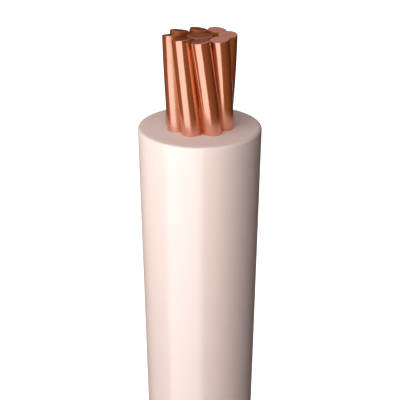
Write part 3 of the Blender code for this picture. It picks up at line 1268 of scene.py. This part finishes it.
@dataclass
class Studio:
    """Floor, light and camera. What mirrors see differs from what lights the rest."""

    layout: CoilLayout
    pitch_down: float = 0.455166
    lens: float = 64.2546
    sensor: float = 36.0
    clip: tuple[float, float] = (0.002, 50.0)
    bounces: int = 24
    glossy_bounces: int = 20
    distance: float = 0.0424
    aim_below_rim: float = 0.004713
    side_shift: float = 0.0005
    floor_reach: float = 12.0
    # Distances from the coil's axis over which the floor's glow rises, and its glow nearest the coil:
    # painted shade round the coil.
    painted_floor_shade_span: tuple[float, float] = (0.19, 0.34)
    floor_glow_with_painted_shade: float = 0.35
    floor_lit: Colour = (0.15, 0.15, 0.15)
    floor_seen: Colour = (0.8, 0.8, 0.8)
    box_span: tuple[float, float] = (-66.0, 4.0)
    box_edge: float = 2.0
    box_top: tuple[float, float] = (0.65, 0.85)
    box_glow: float = 1.22
    rear_from: float = 160.0
    rear_edge: float = 5.0
    rear_top: tuple[float, float] = (-0.20, -0.10)
    rear_glow: float = 0.8
    horizon: tuple[float, float] = (-0.06, 0.06)
    ceiling_lean: tuple[float, float, float] = (-0.3642, -0.6061, 0.7071)
    ceiling_span: tuple[float, float] = (0.5, 0.85)
    fill: Colour = (0.045, 0.044, 0.047)
    ceiling: Colour = (0.92, 0.885, 0.89)
    overhead: tuple[tuple[float, Colour], ...] = (
        (0.0, (0.10, 0.042, 0.018)),
        (0.08, (0.14, 0.055, 0.025)),
        (0.225, (0.19, 0.075, 0.045)),
        (0.30, (0.29, 0.19, 0.16)),
        (0.39, (0.42, 0.32, 0.30)),
        (1.0, (0.42, 0.34, 0.32)),
    )
    dusk: tuple[tuple[float, Colour], ...] = (
        (-180.0, (0.12, 0.063, 0.035)),
        (-140.0, (0.23, 0.108, 0.050)),
        (-80.0, (0.31, 0.142, 0.065)),
        (10.0, (0.275, 0.130, 0.060)),
        (30.0, (0.262, 0.121, 0.048)),
        (52.0, (0.235, 0.107, 0.040)),
        (80.0, (0.175, 0.074, 0.029)),
        (112.0, (0.085, 0.038, 0.017)),
        (150.0, (0.050, 0.024, 0.012)),
        (180.0, (0.12, 0.063, 0.035)),
    )

    def build(self, coil: Sequence[bpy.types.Object]) -> None:
        """Sets up all but the camera, with a panel for the pieces of the coil."""
        self.build_floor()
        self.build_surroundings()
        self.build_lamps(coil)
        scene = bpy.context.scene
        scene.view_settings.view_transform = "Standard"
        scene.cycles.max_bounces, scene.cycles.glossy_bounces = self.bounces, self.glossy_bounces
        log.info("studio ready")

    def build_camera(self) -> None:
        """Puts the camera over the coil, looking down at the stripped end."""
        data = bpy.data.cameras.new("camera")
        data.sensor_width, data.lens = self.sensor, self.lens
        data.clip_start, data.clip_end = self.clip
        data.shift_x = self.side_shift
        camera = bpy.data.objects.new("camera", data)
        bpy.context.scene.collection.objects.link(camera)
        look = Vector((0, math.cos(self.pitch_down), -math.sin(self.pitch_down)))
        aim = Vector(self.layout.rim) - Vector((0, 0, self.aim_below_rim))
        camera.location = aim - look * self.distance
        camera.rotation_euler = look.to_track_quat("-Z", "Y").to_euler()
        bpy.context.scene.camera = camera

    def build_floor(self) -> None:
        """Lays a plain white floor that only the camera sees, glowing as lit paper; its glow dims towards
        the coil as painted shade round it.
        """
        mesh = bpy.data.meshes.new("floor")
        signs = ((-1, -1), (1, -1), (1, 1), (-1, 1))
        corners = [(x * self.floor_reach, y * self.floor_reach, 0) for x, y in signs]
        mesh.from_pydata(corners, [], [(0, 1, 2, 3)])
        material, graph, shader = new_material("white_floor")
        sight = graph.add("LightPath").outputs["Is Camera Ray"]
        place = graph.add("TexCoord").outputs["Object"]
        away = graph.add("VectorMath", {"operation": "LENGTH"}, in_0=place).outputs["Value"]
        # The glow dims near the coil: painted shade round it.
        glow_with_painted_shade = graph.remap(away, *self.painted_floor_shade_span, self.floor_glow_with_painted_shade, 1.0)
        graph.fill(
            shader,
            Base_Color=graph.blend(sight, self.floor_lit, self.floor_seen),
            Emission_Strength=graph.math("MULTIPLY", glow_with_painted_shade, sight),
            Emission_Color=(1.0, 1.0, 1.0),
            Roughness=1.0,
            Specular_IOR_Level=0.0,
        )
        floor = make_object("floor", mesh, [material])
        floor.visible_glossy = floor.visible_diffuse = False

    def build_surroundings(self) -> None:
        """Paints what the copper mirrors: a tall soft box to the front left, and warm dusk elsewhere."""
        world = bpy.data.worlds.new("studio")
        bpy.context.scene.world = world
        world.use_nodes = True
        tree = world.node_tree
        tree.nodes.clear()
        graph = NodeGraph(tree)
        direction = graph.add("TexCoord").outputs["Generated"]
        x, y, up = graph.add("SeparateXYZ", Vector=direction).outputs
        azimuth = graph.math("ARCTAN2", x, graph.math("MULTIPLY", y, -1.0))
        share = graph.math("MULTIPLY_ADD", azimuth, 1.0 / TAU, 0.5)
        dusk = graph.ramp(share, [(0.5 + degrees / 360, colour) for degrees, colour in self.dusk])
        above = graph.ramp(up, self.overhead)
        mirrored = graph.blend(graph.remap(up, *self.horizon), dusk, above)
        settings = {"operation": "DOT_PRODUCT"}
        over = graph.add("VectorMath", settings, in_0=direction, in_1=self.ceiling_lean)
        above_all = graph.remap(over.outputs["Value"], *self.ceiling_span)
        shed = graph.blend(above_all, self.fill, self.ceiling)
        path = graph.add("LightPath").outputs
        light = graph.blend(path["Is Glossy Ray"], shed, mirrored)
        (left, right), soft = self.box_span, self.box_edge
        rising = graph.remap(azimuth, math.radians(left - soft), math.radians(left + soft))
        falling = graph.remap(azimuth, math.radians(right - soft), math.radians(right + soft), 1.0, 0.0)
        front = graph.math("MULTIPLY", rising, falling)
        front = graph.math("MULTIPLY", front, graph.remap(up, *self.box_top, 1.0, 0.0))
        light = graph.blend(front, light, (self.box_glow,) * 3)
        turned, edge = graph.math("ABSOLUTE", azimuth), self.rear_from + self.rear_edge
        rear = graph.remap(turned, math.radians(self.rear_from), math.radians(edge))
        rear = graph.math("MULTIPLY", rear, graph.remap(up, *self.rear_top, 1.0, 0.0))
        light = graph.blend(rear, light, (self.rear_glow,) * 3)
        seen = graph.blend(path["Is Camera Ray"], light, (1.0, 1.0, 1.0))
        back = graph.add("Background", Color=seen, Strength=1.0)
        out = tree.nodes.new("ShaderNodeOutputWorld")
        tree.links.new(back.outputs[0], out.inputs[0])

    def build_lamps(self, coil: Sequence[bpy.types.Object]) -> None:
        """Hangs a lamp beside the stripped end, and panels round the coil, one of them for it alone."""
        rim = Vector(self.layout.rim)
        Panel("near_lamp", -31.0, 0.041, 0.050, 0.018, rim.z + 0.0080, 0.0140).build(rim)
        Panel("left_panel", -122.0, 1.50, 1.00, 0.30, 0.18, 6.0).build(rim)
        right = Panel("right_panel", 100.0, 1.50, 1.60, 0.80, 0.60, 6.5).build(rim)
        Panel("back_panel", 184.0, 1.50, 1.10, 0.30, 0.18, 12.5).build(rim)
        lit = bpy.data.collections.new("coil")
        for piece in coil:
            lit.objects.link(piece)
        right.light_linking.receiver_collection = lit


def main() -> None:
    """Builds the coil's pieces in order, then the studio."""
    logging.basicConfig(level=logging.INFO, format="%(name)s: %(message)s")
    layout = CoilLayout()
    studio = Studio(layout)
    studio.build_camera()
    finishes = Finishes.make()
    conductor = StrippedConductor(layout, STRAND_PLACES)
    strands = conductor.build(finishes)
    jacket = FreeEndJacket(layout, conductor)
    skin = jacket.build(finishes)
    jacket.declare_cord()
    coil = WoundTurns(layout).build(finishes) + Straps(layout).build(finishes)
    keep_out_of_reflections(coil)
    studio.build(coil)


if __name__ == "__main__":
    main()
